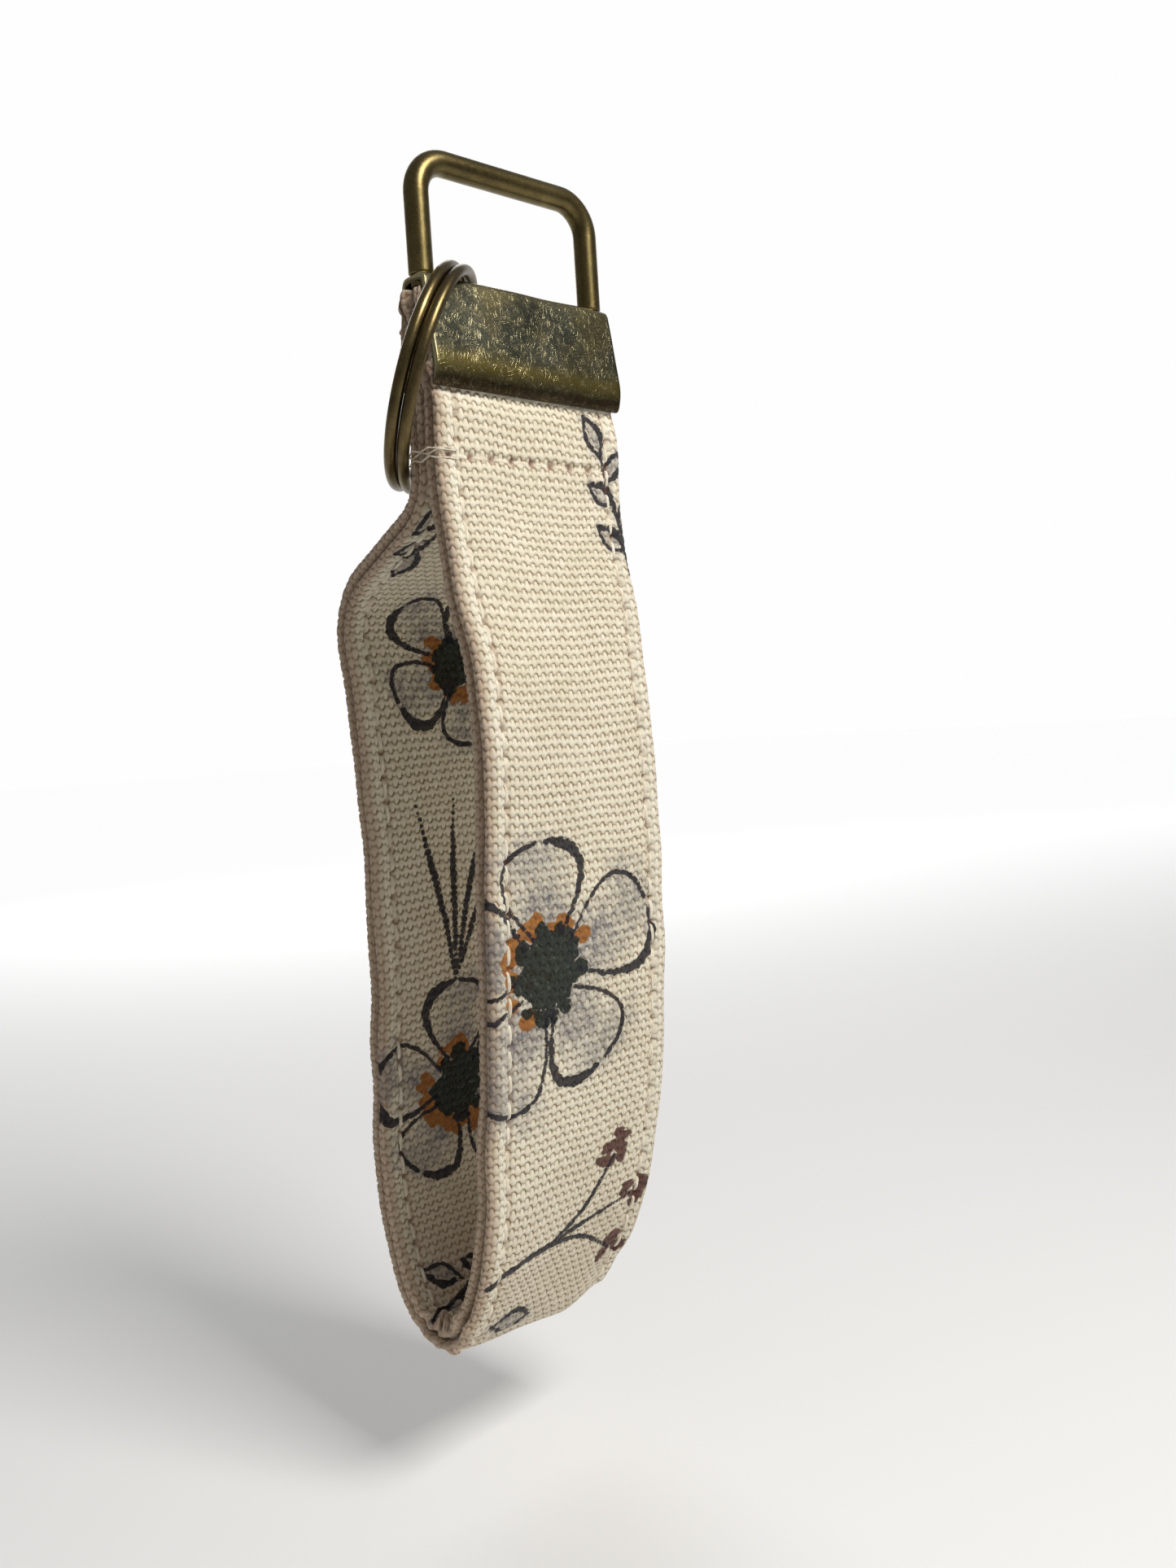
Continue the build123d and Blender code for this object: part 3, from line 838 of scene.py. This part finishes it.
# ---- the strap ----
def add_strap():
    """The canvas strip, with its weave, folds, seams and print."""
    points, threads, holes, cross_holes = strap_points()
    rows, columns = x_grid.shape
    strap = mesh_object("canvas_strap", points, tube_faces(rows, columns))
    cover = strap_print().reshape(INKS, -1)
    set_attribute(strap, "threads", threads.reshape(-1, 3))
    rim = HALF_WIDTH - np.abs(x_grid)
    # Above 0 the cloth is browner: painted shade at its edges, beside the seams, near the bottom
    # bend and inside the loop, and most in the slit and on the folds' sides. Below 0 it is paler: a
    # painted highlight on the ridge between each seam and the edge.
    wear_and_painted_light = bump(rim, 0, 1.0) - 0.4 * bump(rim, 2.0, 0.6)
    wear_and_painted_light += 0.65 * bump(rim, STITCH_INSET + 0.3, 0.35) * ramp(uneven(along_grid, rim), -0.8, 0.5)
    wear_and_painted_light += 0.3 * ramp(drop_grid, 115, 140) + 0.25 * (outer_grid == 0) * ramp(drop_grid, 60, 110)
    wear_and_painted_light = np.clip(wear_and_painted_light + 0.8 * (np.abs(n_grid) < HALF_THICK * 0.8), -1, 1)
    set_attribute(strap, "wear_and_painted_light", wear_and_painted_light.ravel())
    set_attribute(strap, "hole", np.maximum(0.8 * holes, cross_holes).ravel())
    set_attribute(strap, "ink", cover[[LINE, WASH, CENTRE_INK]].T)
    set_attribute(strap, "tint", np.c_[cover[[OCHRE, BERRY]].T, np.zeros(rows * columns)])
    strap.data.materials.append(canvas_material())
    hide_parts("canvas_strip")


LINING_HALF = 0.2  # half the interlining's thickness
LINING_INSET = 1.2  # its distance from the strap's right edge


def add_interlining():
    """The stiff strip between the plies, which follows the strap's own shape."""
    rows = slice(4, len(ALONG) - 4, 4)
    right, left = HALF_WIDTH - LINING_INSET, -HALF_WIDTH + SLIT_DEPTH + 0.3
    x = np.array([[right, left, left, right]])
    n = np.array([[1, 1, -1, -1]]) * LINING_HALF
    shift = (outer_reach()[rows, None] - HALF_THICK) / 2
    points = np.stack(place(x, n + np.minimum(shift, 0), rows), axis=2) * MM
    faces = tube_faces(points.shape[0], 4)
    lining = mesh_object("stiff_interlining", points, faces, smooth=False)
    lining.data.materials.append(interlining_material())
    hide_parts("interlining")


# ---- stitching ----
THREAD_RADIUS = 0.28
THREAD_SIDES = 8
THREAD_FLATNESS = 0.8  # its height against its width


def tube_along(points, radii, side_hint):
    """The rings of a tube through points, with radii, in mm."""
    points = np.asarray(points, float)
    run = unit(np.gradient(points, axis=0))
    side = unit(np.cross(run, side_hint))
    up = np.cross(side, run)
    angles = (np.arange(THREAD_SIDES) * 2 * math.pi / THREAD_SIDES)[None, :, None]
    ring = np.cos(angles) * side[:, None] + THREAD_FLATNESS * np.sin(angles) * up[:, None]
    return points[:, None] + ring * np.asarray(radii)[:, None, None]


def surface_point(along, x, n):
    """The point at along and x, n out from the middle line, and the way outward, in mm."""
    row = np.clip(np.searchsorted(ALONG, along), 0, len(ALONG) - 1)
    out = np.array([0, OUTWARD[row, 0], OUTWARD[row, 1]])
    return np.ravel(place(np.array([[x]]), np.array([[n]]), slice(row, row + 1))), out


STITCH_SHAPE = [  # share of a stitch, height above the cloth, share of the radius
    (0.12, -0.40, 0.7), (0.19, -0.06, 0.95), (0.32, 0.08, 1.05), (0.5, 0.11, 1.1),
    (0.68, 0.08, 1.05), (0.81, -0.06, 0.95), (0.88, -0.40, 0.7),
]


def stitched(name, runs, extra=()):
    """A seam's thread. A run is a stitch: its two ends as (along, x), its face (1 outside,
    -1 inside) and its height; extra holds loose lines of thread with their radii."""
    vertices, faces = [], []

    def add_tube(rings):
        start = sum(len(v) for v in vertices)
        vertices.append((rings * MM).reshape(-1, 3))
        faces.extend(tube_faces(len(rings), THREAD_SIDES, start))

    for (a0, x0), (a1, x1), face, reach in runs:
        line, radii, hint = [], [], None
        for share, height, size in STITCH_SHAPE:
            at, out = surface_point(
                a0 + (a1 - a0) * share, x0 + (x1 - x0) * share, face * (reach + height)
            )
            line.append(at)
            radii.append(size * THREAD_RADIUS)
            hint = out * face
        add_tube(tube_along(line, radii, hint))
    for line, radius in extra:
        add_tube(tube_along(line, [radius] * len(line), (0.1, 0.2, 1.0)))
    piece = mesh_object(f"{name}_stitches", np.vstack(vertices), faces)
    piece.data.materials.append(THREAD)
    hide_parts(f"{name}_thread")


def edge_runs(x, face):
    """The stitches of an edge seam, from one jaw of the clamp right round the loop."""
    offset = 1 - LEFT_SEAM_PHASE if x < 0 else 1.0
    runs = []
    for i in range(int(ALONG[-1] / STITCH_PITCH) + 1):
        start, end = (i + offset - 1) * STITCH_PITCH, (i + offset) * STITCH_PITCH
        if np.interp([start, end], ALONG, DROP).min() < TRIM_DROP:
            continue
        side = 0.12 * math.sin(i * 2.4 + x)
        runs.append(((start, x + side), (end, x - side * 0.5), face, HALF_THICK - 0.18))
    return runs


def cross_runs(front):
    """The stitches of the cross seam on one leg's outer face."""
    straight = slice(0, 200)  # the front leg's first rows, where it only goes down
    along = np.interp(CROSS_SEAM_DROP, DROP[straight], ALONG[straight])
    along = along if front else ALONG[-1] - along
    runs = []
    for i in range(-5, 5):
        x0, x1 = ((i + k - CROSS_SEAM_PHASE) * STITCH_PITCH for k in (0, 1))
        if x0 < -HALF_WIDTH + 0.4 or x1 > HALF_WIDTH - 0.4:
            continue
        wander = 0.1 * math.sin(i * 1.7)
        runs.append(((along + wander, x0), (along - wander, x1), 1, HALF_THICK - 0.22))
    return runs


def edge_wraps():
    """Thread drawn round both legs' left edges at the end of the cross seam."""
    wraps = []
    for shift in (-0.35, 0.3, 0.8):
        z = CLAMP_TOP - CROSS_SEAM_DROP + shift
        around = [(-13.2, -3.3), (-14.8, -3.5), (-16.1, -3.1), (-16.55, -1.8), (-16.5, 0.0),
                  (-16.55, 1.8), (-16.1, 3.1), (-14.8, 3.5), (-13.2, 3.3)]
        line = [(x - 0.06 * shift, y, z + 0.25 * math.sin(2 * y + shift * 5)) for x, y in around]
        wraps.append((line, 0.13))
    return wraps


# ---- the clamp ----
def clamp_outline():
    """The sheet's closed outline from one lip over the top to the other: y, z, outer share."""
    def wall(inset, start):
        """One side's line, from a little below the top to the lip, as it is bent."""
        drops = np.linspace(start, CLAMP_HEIGHT, 26)
        y = np.interp(drops, [0, CLAMP_BULGE_DROP, CLAMP_HEIGHT], CLAMP_HALVES)
        y = np.pad(y, 3, mode="reflect", reflect_type="odd")
        soft = np.convolve(y, [0.08, 0.14, 0.18, 0.2, 0.18, 0.14, 0.08], "valid")
        return np.c_[soft - inset, -drops]

    turn = np.linspace(0, math.pi / 2, 7)
    bend = 1.0  # radius of the fold at the top
    spread = bend + 0.08  # as the wall has already leaned out at the fold's end
    top = np.c_[CLAMP_TOP_HALF - bend + spread * np.sin(turn), -bend * (1 - np.cos(turn))]
    outer = np.vstack([top[:-1], wall(0, bend)])
    lip = np.array([
        [CLAMP_LIP_HALF - 0.12, -CLAMP_HEIGHT],
        [CLAMP_LIP_HALF - CLAMP_SHEET / 2, -CLAMP_HEIGHT - 0.06],
        [CLAMP_LIP_HALF - CLAMP_SHEET + 0.12, -CLAMP_HEIGHT],
    ])
    ceiling = [[0.35, -CLAMP_SHEET], [0.9, -CLAMP_SHEET]]
    inner = np.vstack([ceiling, wall(CLAMP_SHEET, 1.15)])
    right = np.vstack([outer[:-1], lip, inner[::-1][1:]])
    outer_share = np.r_[np.ones(len(outer) - 1), np.full(3, 0.5), np.zeros(len(inner) - 1)]
    left = right[::-1] * (-1, 1)
    return np.vstack([right, left]), np.r_[outer_share, outer_share[::-1]]


def clamp_stations():
    """Places along the clamp from end to end, and how far its rounded ends draw in there."""
    end = [
        (HALF_WIDTH - CLAMP_END * (1 - math.sin(t)), CLAMP_END * (1 - math.cos(t)))
        for t in np.linspace(math.pi / 2, 0, 5)
    ]
    flat = np.linspace(-HALF_WIDTH + CLAMP_END, HALF_WIDTH - CLAMP_END, 90)
    return [(-x, inset) for x, inset in end] + [(x, 0.0) for x in flat[1:-1]] + end[::-1]


def inward_normals(outline):
    """The way into the sheet at each point of its outline."""
    run = np.gradient(outline, axis=0)
    normal = unit(np.c_[run[:, 1], -run[:, 0]])
    if ((outline - outline.mean(axis=0)) * normal).sum() > 0:
        normal = -normal
    return normal


def clamp_wear(x, drop, outer_share):
    """A painted highlight on the left end with rubbed metal on the top fold, a painted highlight in
    gold on the bulge above the lip, and painted shade on the lip, the right end and inside, for one
    section of the clamp.
    """
    # A painted highlight along the left end's edge; the top fold is rubbed to metal.
    left_end_highlight = 0.9 * bump(HALF_WIDTH + x, 0, 0.14)
    wear_and_painted_light = np.clip(left_end_highlight + 0.25 * bump(drop, 0.4, 0.8), 0, 1)
    # A painted highlight in gold along the outer bulge.
    bulge_highlight = 0.9 * bump(drop, CLAMP_BULGE_DROP - 0.5, 1.3) * outer_share
    # Painted shade on the turned-in lip, the right end and the faces inside.
    lip = 0.95 * ramp(drop, CLAMP_BULGE_DROP + 0.3, CLAMP_BULGE_DROP + 1.5)
    right_end_shade = 0.85 * bump(HALF_WIDTH - x, 0, 0.35)
    inside = 1 - ramp(outer_share, 0, 0.5)
    return wear_and_painted_light, bulge_highlight, np.maximum(np.maximum(lip, right_end_shade), inside)


def add_clamp():
    """The crimp clamp: one folded sheet with softened ends and a few dents."""
    outline, outer_share = clamp_outline()
    normal = inward_normals(outline)
    dents = waves(12, 5, 18)
    along = distances(outline)
    rings, wear = [], []
    for x, inset in clamp_stations():
        dent = 0.05 * dents(x, along) * outer_share
        shape = outline + normal * (inset + dent)[:, None]
        rings.append(np.c_[np.full(len(shape), x), shape[:, 0], shape[:, 1] + CLAMP_TOP])
        wear.append(clamp_wear(x, -shape[:, 1], outer_share))
    points = np.array(rings) * MM
    clamp = mesh_object("folded_clamp", points, tube_faces(len(rings), len(outline)))
    for name, values in zip(("wear_and_painted_light", "bulge_highlight", "clamp_shade"), zip(*wear)):
        set_attribute(clamp, name, np.concatenate(values))
    brass = brass_material("antique_brass_sheet", SHEET_PATINA, SHEET_BRASS, 0.68, sheet=True)
    clamp.data.materials.append(brass)
    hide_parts("crimp_clamp")


def finish_wire(node, name, patina):
    """Gives a CAD wire its finish, with few scratches."""
    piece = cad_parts[node]
    piece.data.materials.clear()
    piece.data.materials.append(brass_material(name, patina, WIRE_BRASS, 0.1))


# ---- floor and light ----
FLOOR_GAP, FLOOR_HALF = 0.018, 6.0  # metres: its depth below the loop, half its side
# The floor's glow is painted light: the floor shines though it is no lamp.
FLOOR_DARK, FLOOR_PALE, FLOOR_PAINTED_GLOW = (0.42, 0.42, 0.42), (0.88, 0.88, 0.88), 0.68
WHITE = (1.0, 1.0, 1.0)
BACKDROP_SIDE = (0.67, 0.74, 0.0)  # from the strap towards the backdrop's middle
BACKDROP_EDGE, BACKDROP_FULL = 0.62, 0.8
BACKDROP_LIGHT, WALL_LIGHT = 0.99, 0.24


def add_floor():
    """A floor a little below the loop, pale and glowing with painted light towards the backdrop,
    grey on the other side.
    """
    size, z = FLOOR_HALF, cad_low.z - FLOOR_GAP
    mesh = bpy.data.meshes.new("floor")
    corners = [(-size, -size, z), (size, -size, z), (size, size, z), (-size, size, z)]
    mesh.from_pydata(corners, [], [(0, 1, 2, 3)])
    floor = bpy.data.objects.new("floor", mesh)
    bpy.context.scene.collection.objects.link(floor)
    m = Shader("pale_floor")
    # Towards the backdrop the floor brightens to meet it, pale and glowing with painted light; on
    # the other side it is darker.
    at = m.node("ShaderNodeTexCoord").outputs["Object"]
    far = m.node("ShaderNodeVectorMath", {0: at, 1: BACKDROP_SIDE}, operation="DOT_PRODUCT")
    far = far.outputs["Value"]
    colour = m.mix(m.step(far, -0.2, -0.03), FLOOR_DARK, FLOOR_PALE)
    painted_glow = m.math("MULTIPLY", m.step(far, -0.02, 1.0), FLOOR_PAINTED_GLOW)
    m.surface(Base_Color=colour, Roughness=0.9, Emission_Color=WHITE, Emission_Strength=painted_glow)
    mesh.materials.append(m.material)


def add_light(name, at, size, power, colour=WHITE):
    """A square soft light aimed at the middle of the loop."""
    data = bpy.data.lights.new(name, "AREA")
    data.size, data.energy, data.color = size, power, colour
    light = bpy.data.objects.new(name, data)
    target = (cad_low + cad_high) / 2
    light.location = at
    light.rotation_euler = (target - Vector(at)).to_track_quat("-Z", "Y").to_euler()
    bpy.context.scene.collection.objects.link(light)


def add_world():
    """A studio: a white backdrop behind the strap's right, and dimmer walls all round."""
    world = bpy.data.worlds.new("studio")
    world.use_nodes = True
    tree = world.node_tree
    side = tree.nodes.new("ShaderNodeVectorMath")
    side.operation = "DOT_PRODUCT"
    side.inputs[1].default_value = BACKDROP_SIDE
    tree.links.new(tree.nodes.new("ShaderNodeTexCoord").outputs["Generated"], side.inputs[0])
    share = tree.nodes.new("ShaderNodeMapRange")
    share.interpolation_type = "SMOOTHSTEP"
    for socket, value in enumerate((BACKDROP_EDGE, BACKDROP_FULL, WALL_LIGHT, BACKDROP_LIGHT), 1):
        share.inputs[socket].default_value = value
    tree.links.new(side.outputs["Value"], share.inputs[0])
    tree.links.new(share.outputs[0], tree.nodes["Background"].inputs[1])
    tree.nodes["Background"].inputs[0].default_value = (*WHITE, 1)
    bpy.context.scene.world = world


# ---- assembly ----
THREAD = thread_material()
add_strap()
add_interlining()
for side, sign in (("left", -1), ("right", 1)):
    for kind, face in (("needle", 1), ("bobbin", -1)):
        stitched(f"{side}_edge_{kind}", edge_runs(sign * (HALF_WIDTH - STITCH_INSET), face))
stitched("cross_seam_needle", cross_runs(True), edge_wraps())
stitched("cross_seam_bobbin", cross_runs(False))
add_clamp()
finish_wire("bail_loop", "antique_brass_bail", BAIL_PATINA)
finish_wire("split_key_ring", "antique_brass_ring", RING_PATINA)

add_floor()
add_world()
add_light("key", (0.03, -0.27, 0.20), 0.14, 1.38, (1.0, 0.975, 0.93))
add_light("back", (0.3, 0.6, 0.35), 0.5, 1.6)
bpy.context.scene.view_settings.view_transform = "Standard"
